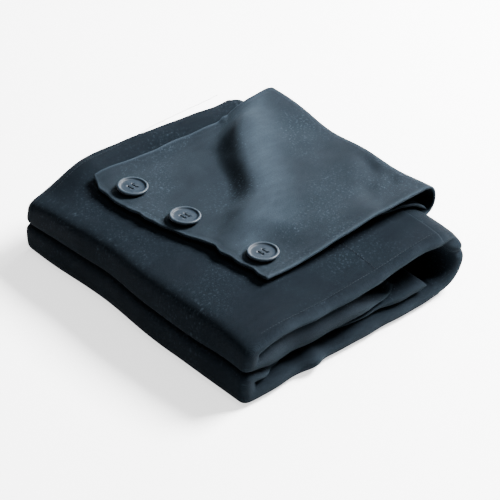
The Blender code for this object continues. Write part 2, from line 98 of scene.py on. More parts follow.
# ---------------------------------------------------------------- studio
# A pale table that glows by itself, so that it stays white and the shadows on it are faint. A large soft
# lamp stands high behind the blanket, a low one behind it brightens its far edges, a weak one hangs above
# it, and an even light comes from all round.


def lamp(name, toward, distance, size, power):
    """A square soft lamp that stands in a direction from the blanket and faces it."""
    direction = Vector(toward).normalized()
    made = bpy.data.objects.new(name, bpy.data.lights.new(name, "AREA"))
    bpy.context.scene.collection.objects.link(made)
    made.data.size = size
    made.data.energy = power
    made.location = direction * distance
    made.rotation_mode = "QUATERNION"
    made.rotation_quaternion = direction.to_track_quat("Z", "Y")


lamp("high_lamp", (0.26, 0.86, 0.88), 2.6, 1.0, 1150.0)
lamp("low_lamp", (-0.35, 1.0, 0.36), 2.6, 1.0, 160.0)
lamp("top_lamp", (0.20, -0.10, 1.0), 3.0, 1.2, 60.0)
world = bpy.data.worlds.new("even_light")
bpy.context.scene.world = world
world.use_nodes = True
world.node_tree.nodes["Background"].inputs["Color"].default_value = (1.0, 1.0, 1.0, 1.0)
world.node_tree.nodes["Background"].inputs["Strength"].default_value = 0.30


def fill_inputs(tree, node, inputs):
    """Gives each named input its value, or links another node's output to it."""
    for key, value in inputs.items():
        if isinstance(value, bpy.types.NodeSocket):
            tree.links.new(value, node.inputs[key])
        else:
            node.inputs[key].default_value = value


def add_node(tree, kind, inputs=None, **settings):
    """A shader node with its settings and its inputs."""
    made = tree.nodes.new(kind)
    for key, value in settings.items():
        setattr(made, key, value)
    fill_inputs(tree, made, inputs or {})
    return made


def noise(tree, place, scale, detail, roughness=0.5):
    """Soft random grain, 0 to 1."""
    inputs = {"Vector": place, "Scale": scale, "Detail": detail, "Roughness": roughness}
    return add_node(tree, "ShaderNodeTexNoise", inputs).outputs["Fac"]


def mix_colours(tree, share, first, second):
    """A colour that goes from the first to the second as the share goes from 0 to 1."""
    inputs = {"Factor": share, "A": first, "B": second}
    return add_node(tree, "ShaderNodeMix", inputs, data_type="RGBA").outputs["Result"]


def empty_material(name):
    """A material with only its Principled shader, and that shader."""
    made = bpy.data.materials.new(name)
    made.use_nodes = True
    return made, made.node_tree, made.node_tree.nodes["Principled BSDF"]


paper, tree, shader = empty_material("pale_floor")
place = add_node(tree, "ShaderNodeTexCoord").outputs["Object"]
tone = mix_colours(tree, noise(tree, place, 3.0, 3.0), (0.50, 0.50, 0.50, 1), (0.53, 0.53, 0.53, 1))
glow = {"Emission Color": (1.0, 1.0, 1.0, 1.0), "Emission Strength": 1.5}
fill_inputs(tree, shader, {"Base Color": tone, "Roughness": 0.9, **glow})
FLOOR_REACH = 9
floor_corners = [(FLOOR_REACH * i, FLOOR_REACH * j, 0) for i, j in ((-1, -1), (1, -1), (1, 1), (-1, 1))]
floor_mesh = bpy.data.meshes.new("floor")
floor_mesh.from_pydata(floor_corners, [], [(0, 1, 2, 3)])
floor_mesh.materials.append(paper)
floor = bpy.data.objects.new("floor", floor_mesh)
bpy.context.scene.collection.objects.link(floor)


# ---------------------------------------------------------------- lower fold
# The lower half of the quilt: a bottom leaf, the round front bend, and a leaf folded back inside. Cover
# and lining are sewn together along the sides and the free edge, with the wadding between them.

# Its cloth is a soft twill with a brushed nap, dyed a dark slate navy.


def mix_values(tree, share, first, second):
    """A number that goes from the first to the second as the share goes from 0 to 1."""
    return add_node(tree, "ShaderNodeMix", {"Factor": share, "A": first, "B": second}).outputs["Result"]


def stretch(tree, value, low, high):
    """0 where the value is low or less, 1 where it is high or more, and even between."""
    inputs = {"Value": value, "From Min": low, "From Max": high}
    return add_node(tree, "ShaderNodeMapRange", inputs).outputs["Result"]


def brushed_twill():
    """A node group: fine diagonal ribs under short fibres, broad marks where the nap lies over, and small
    pills of rubbed fibre."""
    group = bpy.data.node_groups.new("brushed_twill", "ShaderNodeTree")
    group.interface.new_socket("Place", in_out="INPUT", socket_type="NodeSocketVector")
    pitch = group.interface.new_socket("Ribs", in_out="INPUT", socket_type="NodeSocketFloat")
    pitch.default_value = 480.0
    group.interface.new_socket("Tone", in_out="OUTPUT", socket_type="NodeSocketFloat")
    group.interface.new_socket("Height", in_out="OUTPUT", socket_type="NodeSocketFloat")
    group.interface.new_socket("Pills", in_out="OUTPUT", socket_type="NodeSocketFloat")
    given = group.nodes.new("NodeGroupInput").outputs
    result = group.nodes.new("NodeGroupOutput")
    place = given["Place"]
    waves = {"Vector": place, "Scale": given["Ribs"], "Distortion": 1.2, "Detail": 1.0, "Detail Scale": 2.0}
    ribs = add_node(group, "ShaderNodeTexWave", waves, wave_type="BANDS", bands_direction="DIAGONAL")
    fibres = noise(group, place, 750.0, 3.0, 0.65)
    lying = {"Vector": place, "Rotation": (0, 0, 0.7), "Scale": (1.0, 0.3, 1.0)}
    brushed = add_node(group, "ShaderNodeMapping", lying).outputs["Vector"]
    marks = noise(group, brushed, 110.0, 5.0, 0.7)
    clouds = noise(group, place, 14.0, 3.0)
    raised = mix_values(group, 0.62, ribs.outputs["Fac"], fibres)
    mixed = mix_values(group, 0.55, mix_values(group, 0.45, marks, clouds), raised)
    spread = stretch(group, mixed, 0.33, 0.67)
    patches = stretch(group, clouds, 0.40, 0.62)
    pills = stretch(group, noise(group, place, 330.0, 2.0, 0.7), 0.56, 0.70)
    felted = add_node(group, "ShaderNodeMath", {0: pills, 1: patches}, operation="MULTIPLY")
    group.links.new(felted.outputs["Value"], result.inputs["Pills"])
    group.links.new(spread, result.inputs["Tone"])
    group.links.new(raised, result.inputs["Height"])
    return group


TWILL = brushed_twill()
RIB_HEIGHT = 0.0006


def cloth(name, dark, light, worn_and_highlight_colour, roughness, gloss, sheen, relief):
    """Twill of two close dye tones, paler at pills and where the vertex attribute marks worn edges and a
    painted highlight.
    """
    made, tree, shader = empty_material(name)
    place = add_node(tree, "ShaderNodeUVMap", uv_map="cloth_metres").outputs["UV"]
    weave = add_node(tree, "ShaderNodeGroup", {"Place": place}, node_tree=TWILL).outputs
    wear_and_highlight_mask = add_node(tree, "ShaderNodeAttribute", attribute_name="edge_wear_and_painted_highlight").outputs["Fac"]
    patchy = add_node(tree, "ShaderNodeMath", {0: wear_and_highlight_mask, 1: weave["Tone"]}, operation="MULTIPLY")
    rubbed_and_painted_highlight = {0: weave["Pills"], 1: patchy.outputs["Value"]}
    rubbed_and_painted_highlight = add_node(tree, "ShaderNodeMath", rubbed_and_painted_highlight, operation="MAXIMUM").outputs["Value"]
    dyed = mix_colours(tree, weave["Tone"], (*dark, 1), (*light, 1))
    raised = {"Height": weave["Height"], "Strength": relief, "Distance": RIB_HEIGHT}
    fill_inputs(tree, shader, {
        "Base Color": mix_colours(tree, rubbed_and_painted_highlight, dyed, (*worn_and_highlight_colour, 1)),
        "Normal": add_node(tree, "ShaderNodeBump", raised).outputs["Normal"],
        "Roughness": roughness,
        "Specular IOR Level": gloss,
        "Sheen Weight": sheen,
        "Sheen Roughness": 0.38,
        "Sheen Tint": (0.45, 0.72, 1.0, 1),
    })
    return made


OUTER_CLOTH = cloth(
    "navy_brushed_twill", dark=(0.0003, 0.0009, 0.0017), light=(0.0019, 0.0036, 0.0053),
    worn_and_highlight_colour=(0.0080, 0.0120, 0.0160), roughness=0.92, gloss=0.025, sheen=0.007, relief=0.80,
)

# The quilt is about 22 mm of soft wadding, so the folded stack isn't square. Its front left corner has
# sunk, its left end is plump, its rear right corner stands up, the top leaf slopes off at the sides, and
# the inner leaves bulge at the right end, where they hide the edge of the leaf below them.

SIDE = cad_box[1][0]
FRONT = cad_box[0][1]
FOLD_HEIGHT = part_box("lower_cover")[1][2]
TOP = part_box("upper_cover")[1][2]
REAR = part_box("rear_fold_cover")[0][1]
QUILT = FOLD_HEIGHT / 2 - 0.0003
SAG_START, SAG = -0.020, 0.045
EDGE_ROUND, SKIN_COLUMNS = 0.0115, 74

REST_LEVELS = (0.0, 0.0225, 0.0453, 0.0680, 0.0906)
BULGED_LEVELS = (0.0, 0.0235, 0.0310, 0.0765, 0.0906)
OPEN_LEVELS = (0.0, 0.0205, 0.0370, 0.0765, 0.0906)


def ease(t):
    """0 below 0, 1 above 1, and an S curve between."""
    t = np.clip(t, 0.0, 1.0)
    return t * t * (3 - 2 * t)


def past(value, start, run):
    """0 up to the start, 1 from one run beyond it, and an S curve between."""
    return ease((value - start) / run)


def short_of(value, end, run):
    """1 up to one run before the end, 0 from the end on, and an S curve between."""
    return ease((end - value) / run)


def hump(distance, width):
    """A bell curve of height 1."""
    return np.exp(-((distance / width) ** 2))


WAVES = 14


def ripple(x, y, z, size, seed):
    """Soft irregular waves: a sum of sine waves of about this length in seeded directions, divided by the
    square root of their number, so mostly between -1 and 1."""
    chance = np.random.default_rng(seed)
    total = 0.0
    for _ in range(WAVES):
        direction = chance.normal(size=3)
        direction *= 2 * math.pi / (size * chance.uniform(0.7, 1.6) * np.linalg.norm(direction))
        phase = chance.uniform(0, 2 * math.pi)
        total = total + np.sin(direction[0] * x + direction[1] * y + direction[2] * z + phase)
    return total / math.sqrt(WAVES)


def settle(points):
    """Moves points of the neatly folded stack to where the soft one lies. Near the right end, heights go
    through a curve of levels. Then they are scaled: down to the left, up at the rear right corner and at
    the plump left end. The square of the distance past each side's shoulder is taken off them, and soft
    waves are added. Last, the left end is slanted and the front is moved out by a wave and a bulge."""
    x, y, z = points[..., 0], points[..., 1], points[..., 2]
    right = past(x, 0.085, 0.105)
    inside = past(y, -0.166, 0.035) * short_of(y, 0.150, 0.05)
    opened = past(y, 0.005, 0.07)
    bulged = np.interp(z, REST_LEVELS, BULGED_LEVELS)
    spread = np.interp(z, REST_LEVELS, OPEN_LEVELS)
    wanted = bulged + (spread - bulged) * opened
    z = z + (wanted - z) * right * inside
    share = z / TOP
    upper = np.clip((share - 0.30) / 0.70, 0, 1)
    to_left = np.clip((SAG_START - x) / (SAG_START + SIDE), 0, 1.1)
    front_left = 0.060 * short_of(x, -0.085, 0.11) * short_of(y, -0.100, 0.07)
    lift = 0.055 * past(x, 0.02, 0.16) * past(y, -0.01, 0.15)
    plump = (
        short_of(x, -0.130, 0.055)
        * (0.205 * past(y, -0.150, 0.07) + 0.045 * past(y, -0.060, 0.09) + 0.030 * past(y, 0.100, 0.045))
    )
    z = z * (1 - SAG * to_left - front_left + lift + plump * upper)
    off_right = np.clip((x - 0.120) / 0.073, 0, 1.2) ** 2 * (0.0110 - 0.0050 * past(y, 0.02, 0.08))
    off_left = np.clip((-x - 0.145) / 0.054, 0, 1.2) ** 2 * 0.0055
    off_front = np.clip((-y - 0.112) / 0.06, 0, 1.2) ** 2 * 0.0050
    off_rear = np.clip((y - 0.118) / 0.05, 0, 1.2) ** 2 * 0.0030
    z = z - (off_right + off_left + off_front + off_rear) * upper
    soft = ripple(x, y, z * 0.6, 0.105, 4) * 0.0011 * ease(share / 0.3)
    z = z + soft
    side_wave = ripple(x * 0.4, y, z, 0.060, 9) * 0.0013 * ease((np.abs(x) - 0.13) / 0.06)
    slant = (
        0.024 * past(y, -0.050, 0.22) * (0.12 + 0.88 * upper)
        - 0.0130 * (1 - 0.65 * upper) * short_of(y, 0.030, 0.12)
    )
    x = x + side_wave * np.sign(x) - np.sign(x) * 0.0008 + slant * short_of(x, -0.070, 0.12)
    front_wave = ripple(x, y * 0.3, z, 0.085, 12) * 0.0010 * short_of(y, -0.13, 0.04)
    y = y - front_wave - 0.0095 * past(x, -0.070, 0.14) * (1 - 0.6 * upper) * short_of(y, -0.120, 0.04)
    return np.stack([x, y, np.maximum(z, 0.0002)], axis=-1)


def merge_and_turn_out(mesh, distance):
    """Merges a mesh's doubles and turns its faces outwards."""
    shape = bmesh.new()
    shape.from_mesh(mesh)
    bmesh.ops.remove_doubles(shape, verts=shape.verts, dist=distance)
    bmesh.ops.recalc_face_normals(shape, faces=shape.faces)
    shape.to_mesh(mesh)
    shape.free()


def make_piece(name, points, faces, corner_uv, wear_plus_painted_highlight, material, body):
    """A closed mesh object from arrays: its doubles are merged, its faces turned outwards and shaded
    smooth. Each face corner has a place on the flat cloth, in metres, and each vertex its edge wear, with a
    painted highlight added on the flap. A piece that bends between two bodies is given no body here."""
    mesh = bpy.data.meshes.new(name)
    mesh.from_pydata(points.reshape(-1, 3).tolist(), [], faces.tolist())
    if corner_uv is not None:
        mesh.uv_layers.new(name="cloth_metres").data.foreach_set(
            "uv", corner_uv.reshape(-1).astype(np.float32)
        )
    # The vertex attribute holds edge wear, and on the flap a painted highlight as well.
    attribute = mesh.attributes.new("edge_wear_and_painted_highlight", "FLOAT", "POINT")
    attribute.data.foreach_set(
        "value", np.broadcast_to(wear_plus_painted_highlight, points.shape[:-1]).reshape(-1).astype(np.float32)
    )
    merge_and_turn_out(mesh, 2e-6)
    mesh.shade_smooth()
    mesh.materials.append(material)
    made = bpy.data.objects.new(name, mesh)
    bpy.context.scene.collection.objects.link(made)
    if body:
        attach(made, body)
    return made


def skin_faces(rows, around):
    """The quads of a tube of rings, and which unwrapped column each of their corners is in."""
    row, column = np.meshgrid(np.arange(rows - 1), np.arange(around), indexing="ij")
    turns = ((row, column), (row, column + 1), (row + 1, column + 1), (row + 1, column))
    corners = np.stack([np.stack(turn, -1) for turn in turns], axis=2).reshape(-1, 4, 2)
    return corners[..., 0] * around + corners[..., 1] % around, corners


def quilt_skin(name, path, left, right, thick, material, body, shape=None):
    """A padded leaf: a flat round-edged section, carried along a path of (y, z, normal y, normal z, length
    along). The section has half the leaf's thickness above and below, and closes to a line at each end.
    Then it is settled, and a shape function of the piece's own may move its points once more."""
    t = np.linspace(0, 1, SKIN_COLUMNS)
    flat = t * 0.45 + (0.5 - 0.5 * np.cos(math.pi * t)) * 0.55
    turn = np.linspace(0, math.pi, 18)[1:-1]
    share = np.concatenate([flat, np.ones_like(turn), flat[::-1], np.zeros_like(turn)])
    out = np.concatenate([0 * flat, np.sin(turn), 0 * flat, -np.sin(turn)])
    height = np.concatenate([0 * flat + 1, np.cos(turn), 0 * flat - 1, -np.cos(turn)])
    height = np.sign(height) * np.abs(height) ** 0.85
    rows = len(path)
    low = np.broadcast_to(left, rows)[:, None] + EDGE_ROUND
    high = np.broadcast_to(right, rows)[:, None] - EDGE_ROUND
    x = low + (high - low) * share + EDGE_ROUND * out
    lift = height * np.broadcast_to(thick, rows)[:, None]
    y = path[:, 0, None] + path[:, 2, None] * lift
    z = path[:, 1, None] + path[:, 3, None] * lift
    points = settle(np.stack([x, y, z], axis=-1))
    if shape is not None:
        points = shape(points)
    faces, corners = skin_faces(rows, len(share))
    across = np.concatenate([x[rows // 2], [x[rows // 2][0]]]) + np.concatenate([height, [1.0]]) * 0.011
    uv = np.stack([across[corners[..., 1]], path[:, 4][corners[..., 0]]], axis=-1)
    wear_plus_painted_highlight = 0.75 * np.abs(out)[None, :] ** 3 * np.ones((rows, 1))
    return make_piece(name, points, faces, uv, wear_plus_painted_highlight, material, body)


def close_ends(along, start_round, end_round):
    """How thick the leaf is along its path: a quarter ellipse at each end, over these lengths."""
    from_start, to_end = along - along[0], along[-1] - along
    first = np.sqrt(np.clip(1 - np.clip(1 - from_start / start_round, 0, 1) ** 2, 0, 1))
    last = np.sqrt(np.clip(1 - np.clip(1 - to_end / end_round, 0, 1) ** 2, 0, 1))
    return first * last


STEP, COVER_GAP = 0.0045, 0.0002
END_STEPS = np.array([0.006, 0.0035, 0.0015, 0.0004, 0])


def leaf_path(rear_y, free_y):
    """The middle line of the lower fold: along the bottom from the rear, round the squarish front bend,
    and back over the top to the free edge. The bend is a half circle whose sine and cosine are raised to
    a power below 1. Rows are (y, z, normal y, normal z, length along)."""
    bend_y, middle = FRONT + FOLD_HEIGHT / 2, FOLD_HEIGHT / 2
    radius = middle - QUILT / 2
    bottom = np.linspace(rear_y, bend_y, int(abs(rear_y - bend_y) / STEP) + 6)
    bottom = np.concatenate([rear_y - END_STEPS[::-1], bottom[bottom < rear_y - 0.008]])
    top = np.linspace(bend_y, free_y, int((free_y - bend_y) / STEP) + 6)
    top = np.concatenate([top[(top < free_y - 0.008) & (top > bend_y)], free_y - END_STEPS])
    turn = np.radians(np.linspace(270, 90, 25))
    square = np.where(turn > math.pi, 0.50, 0.42)
    round_y = np.sign(np.cos(turn)) * np.abs(np.cos(turn)) ** square
    round_z = np.sign(np.sin(turn)) * np.abs(np.sin(turn)) ** square
    y = np.concatenate([bottom[:-1], bend_y + radius * round_y, top])
    low, high = QUILT / 2 + COVER_GAP, FOLD_HEIGHT - QUILT / 2 - COVER_GAP
    z = np.concatenate([np.full(len(bottom) - 1, low), middle + radius * round_z, np.full(len(top), high)])
    normal_y = np.concatenate([np.zeros(len(bottom) - 1), round_y, np.zeros(len(top))])
    normal_z = np.concatenate([-np.ones(len(bottom) - 1), round_z, np.ones(len(top))])
    along = np.concatenate([[0], np.cumsum(np.hypot(np.diff(y), np.diff(z)))])
    return np.stack([y, z, normal_y, normal_z, along], axis=-1)


INLET_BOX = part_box("inlet_housing")
INLET_Y, INLET_Z = [(INLET_BOX[0][i] + INLET_BOX[1][i]) / 2 for i in (1, 2)]


RIGHT_END, RIGHT_RUN = 0.150, 0.035
# Each pocket's depth, its place and its length along the edge, and its height and how high it is.
POCKETS = (
    (0.021, -0.098, 0.017, 0.029, 0.0080),
    (0.023, -0.052, 0.021, 0.0265, 0.0075),
    (0.014, -0.128, 0.011, 0.030, 0.006),
)


def pucker_right_end(points):
    """The right end's crumpled edges: dark pockets above the bottom leaf and a knuckle, as bell curves
    along the edge and up it, and the dent that holds the power inlet at the left end."""
    x, y, z = points[..., 0], points[..., 1].copy(), points[..., 2].copy()
    near = past(x, RIGHT_END, RIGHT_RUN)
    pocket = sum(
        deep * hump(y - at_y, long) * hump(z - at_z, high) for deep, at_y, long, at_z, high in POCKETS
    )
    knuckle = 0.0070 * hump(y + 0.074, 0.013) * hump(z - 0.013, 0.010)
    pulled = 0.006 * hump(y - 0.030, 0.030) * hump(z - 0.026, 0.006)
    x = x + (knuckle - pocket - pulled) * near
    z = z + 0.003 * hump(y + 0.074, 0.016) * near * ease(z / 0.015) * short_of(z, 0.03, 0.01)
    inlet = (
        ease((0.0185 - np.abs(y - INLET_Y)) / 0.003) * short_of(z, 0.0150, 0.003) * short_of(x, -0.150, 0.01)
    )
    socket = (
        ease((0.0135 - np.abs(y - INLET_Y)) / 0.003) * ease((0.0052 - np.abs(z - INLET_Z)) / 0.0015)
        * short_of(x, -0.150, 0.01)
    )
    x = x + np.maximum(0.0030 * inlet, 0.027 * socket)
    return np.stack([x, y, z], axis=-1)


INNER_START, INNER_RUN = 0.33, 0.05
SKIN_GAP, FREE_ROUND = 0.0004, 0.012
LOWER_FREE_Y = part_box("lower_free_edge_hem")[1][1]
path = leaf_path(REAR + 0.004, LOWER_FREE_Y)
inner_leaf = past(path[:, 4], INNER_START, INNER_RUN)
thick = (QUILT / 2 - SKIN_GAP) * close_ends(path[:, 4], 0.003, FREE_ROUND)
recess = inner_leaf * (0.0100 * ease((0.03 - path[:, 0]) / 0.05) + 0.0015)
lower_quilt = quilt_skin(
    "lower_fold_quilt", path, -SIDE + inner_leaf * 0.004, SIDE - recess, thick, OUTER_CLOTH, "lower_fold",
    shape=pucker_right_end
)
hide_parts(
    "lower_cover", "lower_wadding", "lower_heater_carrier", "lower_lining",
    "lower_free_edge_hem", "lower_side_binding_left", "lower_side_binding_right"
)


# ---------------------------------------------------------------- rear fold
# The same quilt, turned up and over at the rear. It bends when the upper fold is opened. The flat strip
# that leads into it slides out from between the bottom leaf's layers as the fold rolls back.

SIDE_GAP = 0.0006
strip_y = np.concatenate([[0.0700, 0.0704, 0.0715, 0.0735, 0.0765], np.linspace(0.080, REAR + 0.006, 14)])
strip = np.stack(
    [strip_y, np.full_like(strip_y, QUILT / 2 + 0.0002), 0 * strip_y, 0 * strip_y - 1, 0.40 - strip_y],
    axis=-1
)
past_inlet = 0.031 * short_of(strip_y, 0.106, 0.006)
thick = (QUILT / 2 - 0.0010) * close_ends(strip_y, 0.003, 0.0015)
rolled_out = quilt_skin(
    "rear_fold_flat_strip", strip, -SIDE + SIDE_GAP + past_inlet, SIDE - SIDE_GAP, thick, OUTER_CLOTH,
    "rear_fold",
)

rear_radius = TOP / 2 - 0.0010 - QUILT / 2
tuck = np.array([0.010, 0.0098, 0.0092, 0.008, 0.006, 0.003])
turn = np.radians(np.linspace(-90, 90, 41))
rear_y = np.concatenate([REAR - tuck, REAR + rear_radius * np.cos(turn), REAR - tuck[::-1]])
rear_z = (
    np.concatenate([0 * tuck - rear_radius, rear_radius * np.sin(turn), 0 * tuck + rear_radius]) + TOP / 2
)
rear_normal = np.concatenate([0 * tuck - math.pi / 2, turn, 0 * tuck + math.pi / 2])
along = np.concatenate([[0], np.cumsum(np.hypot(np.diff(rear_y), np.diff(rear_z)))])
rear_path = np.stack([rear_y, rear_z, np.cos(rear_normal), np.sin(rear_normal), along + 0.31], axis=-1)


def pinch_rear(points):
    """The rear fold's right end is pinched: a bright rim, with a small crease across it."""
    x, y, z = points[..., 0], points[..., 1], points[..., 2]
    near = past(x, 0.160, 0.025)
    x = x - near * (0.006 * hump(z - 0.070, 0.006) * hump(y - 0.146, 0.02) + 0.004 * hump(z - 0.052, 0.004))
    return np.stack([x, y, z], axis=-1)


thick = (QUILT / 2 - 0.0008) * close_ends(along, 0.002, 0.002)
rear_quilt = quilt_skin(
    "rear_fold_quilt", rear_path, -SIDE + SKIN_GAP, SIDE - SKIN_GAP, thick, OUTER_CLOTH, None,
    shape=pinch_rear,
)
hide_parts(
    "rear_fold_cover", "rear_fold_wadding", "rear_fold_heater_carrier", "rear_fold_lining",
    "rear_fold_side_binding_left", "rear_fold_side_binding_right", "rear_fold_lead"
)
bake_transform(rear_quilt)


# ---------------------------------------------------------------- upper fold
# The upper half of the quilt, folded in the same way and lying upside down on the lower one. Its inner
# leaf thins out towards its free edge, so the stack is hollow behind it.

UPPER_FREE_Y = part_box("upper_free_edge_hem")[1][1]
path = leaf_path(REAR + 0.003, UPPER_FREE_Y + 0.004)
path[:, 1], path[:, 3] = TOP - path[:, 1], -path[:, 3]
inner_leaf = past(path[:, 4], INNER_START, INNER_RUN)
thinned = 1 - 0.80 * inner_leaf * ease((path[:, 0] + 0.030) / 0.075)
thick = (QUILT / 2 - SKIN_GAP) * close_ends(path[:, 4], 0.003, FREE_ROUND)
path[:, 1] -= thick * (1 - thinned) * inner_leaf
thick = thick * thinned


def crease_right_end(points):
    """A crease along the right end between the top leaf and the bulging inner leaf, and soft puckers."""
    x, y, z = points[..., 0], points[..., 1], points[..., 2]
    near = past(x, RIGHT_END, RIGHT_RUN)
    crease = 0.70 * hump(y + 0.085, 0.05)
    x = x - near * (0.004 * crease * hump(z - 0.078, 0.004))
    puckers = ripple(x * 0, y * 0.8 - z * 0.5, z * 0.8, 0.046, 23)
    swell = (
        0.0035 * hump(y + 0.030, 0.045) * hump(z - 0.055, 0.018) + 0.0016 * puckers * hump(z - 0.052, 0.020)
    )
    return np.stack([x + near * swell, y, z], axis=-1)


upper_quilt = quilt_skin(
    "upper_fold_quilt", path, -SIDE + inner_leaf * 0.003, SIDE - inner_leaf * 0.0045, thick, OUTER_CLOTH,
    "upper_fold", shape=crease_right_end
)
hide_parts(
    "upper_cover", "upper_wadding", "upper_heater_carrier", "upper_lining",
    "upper_free_edge_hem", "upper_side_binding_left", "upper_side_binding_right"
)


# ---------------------------------------------------------------- flap
# One end of the blanket is a thin unpadded flap of two cloths on a stiffener, turned back over the top
# along a loose round fold. It lies a little askew, with a ridge that runs from its rear left corner
# towards the front, and its hem has a row of stitches.

# The flap's cloth is a paler copy of the stack's, painted lighter to stand in for the light it catches, with
# a little more gloss and sheen.
FLAP_CLOTH_PAINTED_LIGHTER = cloth(
    "navy_flap_twill_painted_lighter", dark=(0.0007, 0.0017, 0.0029), light=(0.0040, 0.0068, 0.0095),
    worn_and_highlight_colour=(0.0145, 0.0215, 0.0290), roughness=0.92, gloss=0.04, sheen=0.014, relief=0.90,
)
FLAP_THICK, FLAP_GAP = 0.0046, 0.0006
FLAP_LEFT, FLAP_RIGHT = (-0.1575, -0.1427), (0.1345, 0.1435)
FOLD_Y, FOLD_DEPTH = joints["flap_open"]["pos_m"][1], 0.0125
FLAP_TOP = cad_box[1][2]
TAIL_FRONT_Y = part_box("flap_tail_cover")[0][1]
RIDGE_BEND = (0.009, 0.000)
PRESSED_BY_BUTTON = 0.96


def stack_top(x, y):
    """The height of the settled stack's upper face, which falls away over the rear fold."""
    fallen = TOP / 2 + np.sqrt(np.clip((TOP / 2 - 0.001) ** 2 - np.clip(y - REAR, 0, None) ** 2, 0, None))
    height = np.where(y > REAR, np.maximum(fallen, TOP - 0.0130), TOP)
    return settle(np.stack([x, y, height], axis=-1))[..., 2]


def across_ridge(x, y):
    """The distance from the flap's ridge, above 0 to its right: a line with one soft bend."""
    rear = (x - RIDGE_BEND[0]) * 0.555 + (y - RIDGE_BEND[1]) * 0.832
    front = (x - RIDGE_BEND[0]) * 0.863 + (y - RIDGE_BEND[1]) * 0.505
    share = past(y, -0.030, 0.070)
    return rear * share + front * (1 - share)


def fold_top(x):
    """The height of the top of the flap's round fold, pressed down on the right of its middle."""
    return (
        FLAP_TOP + 0.0012 * short_of(x, 0.0, 0.15) - 0.0065 * hump(x - 0.080, 0.045)
        - 0.0060 * hump(x + 0.030, 0.050)
    )


def fold_y(x):
    """The Y of the round fold's centre: it is further back at its left end."""
    return FOLD_Y + 0.0105 * short_of(x, 0.135, 0.28) - 0.0050 * hump(x + 0.030, 0.055)


def flap_height(x, y):
    """The height of the flap's upper face over the stack: low in front of the ridge and to its left, and
    rising behind it to the round fold along S curves, with a crest along the ridge itself, dents and soft
    waves. It is pressed flat round the buttons, and lies over the tail's edge."""
    ground = stack_top(x, y)
    ground = np.maximum(ground, stack_top(x, np.minimum(y, REAR)) - 0.002)
    rise = fold_top(x) - ground - FLAP_THICK - FLAP_GAP
    behind = rise * ease((y + 0.092) / (fold_y(x) + 0.092))
    before = rise * ease((y - 0.080) / (fold_y(x) - 0.080))
    distance = across_ridge(x, y)
    raised = ease((distance + 0.024) / (0.032 + 0.045 * short_of(x, -0.085, 0.06)))
    along_ridge = short_of(y, 0.150, 0.06) * (0.45 + 0.55 * past(y, -0.085, 0.06)) * past(y, -0.105, 0.03)
    along_ridge = along_ridge * past(x, -0.155, 0.06)
    crest = (
        0.0110 * np.where(distance > 0.006, hump(distance - 0.006, 0.060), hump(distance - 0.006, 0.021))
        * along_ridge
    )
    valley = 0.0016 * hump(distance + 0.045, 0.02) * along_ridge
    dents = (
        -0.0045 * hump(x - 0.075 + (y - 0.130) * 0.8, 0.018) * past(y, 0.075, 0.04) * short_of(y, 0.162, 0.02)
    )
    dents = dents - 0.0030 * hump(
        x - 0.115 + (y - 0.120) * 0.5, 0.012
    ) * past(y, 0.075, 0.03) * short_of(y, 0.158, 0.02)
    loose = ripple(x, y, x * 0, 0.070, 31) * 0.0008 * past(y, -0.05, 0.05) * short_of(y, 0.150, 0.03)
    wavy = 0.0009 * (1 + ripple(x, y * 0, x * 0, 0.034, 43)) * short_of(y, -0.070, 0.025)
    height = before + (behind - before) * raised + crest - valley + dents + loose + wavy
    for word in ("left", "middle", "right"):
        button_x, button_y, _ = joints[f"{word}_button_tilt"]["pos_m"]
        near = short_of(np.hypot(x - button_x, y - button_y), 0.060, 0.042)
        height = height * (1 - PRESSED_BY_BUTTON * near)
    tail = 0.0056 * ease((y - TAIL_FRONT_Y + 0.012) / 0.010) * short_of(x, 0.140, 0.008)
    return ground + FLAP_THICK + FLAP_GAP + np.maximum(height, tail)


def flap_place(u, v):
    """(x, y) on the flap, u from its left edge to its right one and v from its front edge to its fold."""
    left = FLAP_LEFT[0] * (1 - v) + FLAP_LEFT[1] * v
    right = FLAP_RIGHT[0] * (1 - v) + FLAP_RIGHT[1] * v
    x = left + (right - left) * u
    front = (
        -0.1000 + 0.0125 * u - 0.0165 * np.sin(math.pi * np.clip(u / 0.66, 0, 1) ** 0.75)
        + 0.002 * hump(u - 0.69, 0.04)
    )
    y = front + (fold_y(x) - front) * v
    wander = 0.0009 * ripple(x, y, x * 0, 0.055, 41)
    x = x + wander * (short_of(u, 0.04, 0.04) + past(u, 0.96, 0.04)) * short_of(v, 1, 0.1)
    bow = 0.0013 * ripple(x, y * 0, x * 0, 0.026, 42) * (1 - hump(u, 0.05)) * (1 - hump(u - 1, 0.05))
    y = y + bow * short_of(v, 0.10, 0.10)
    return x, y


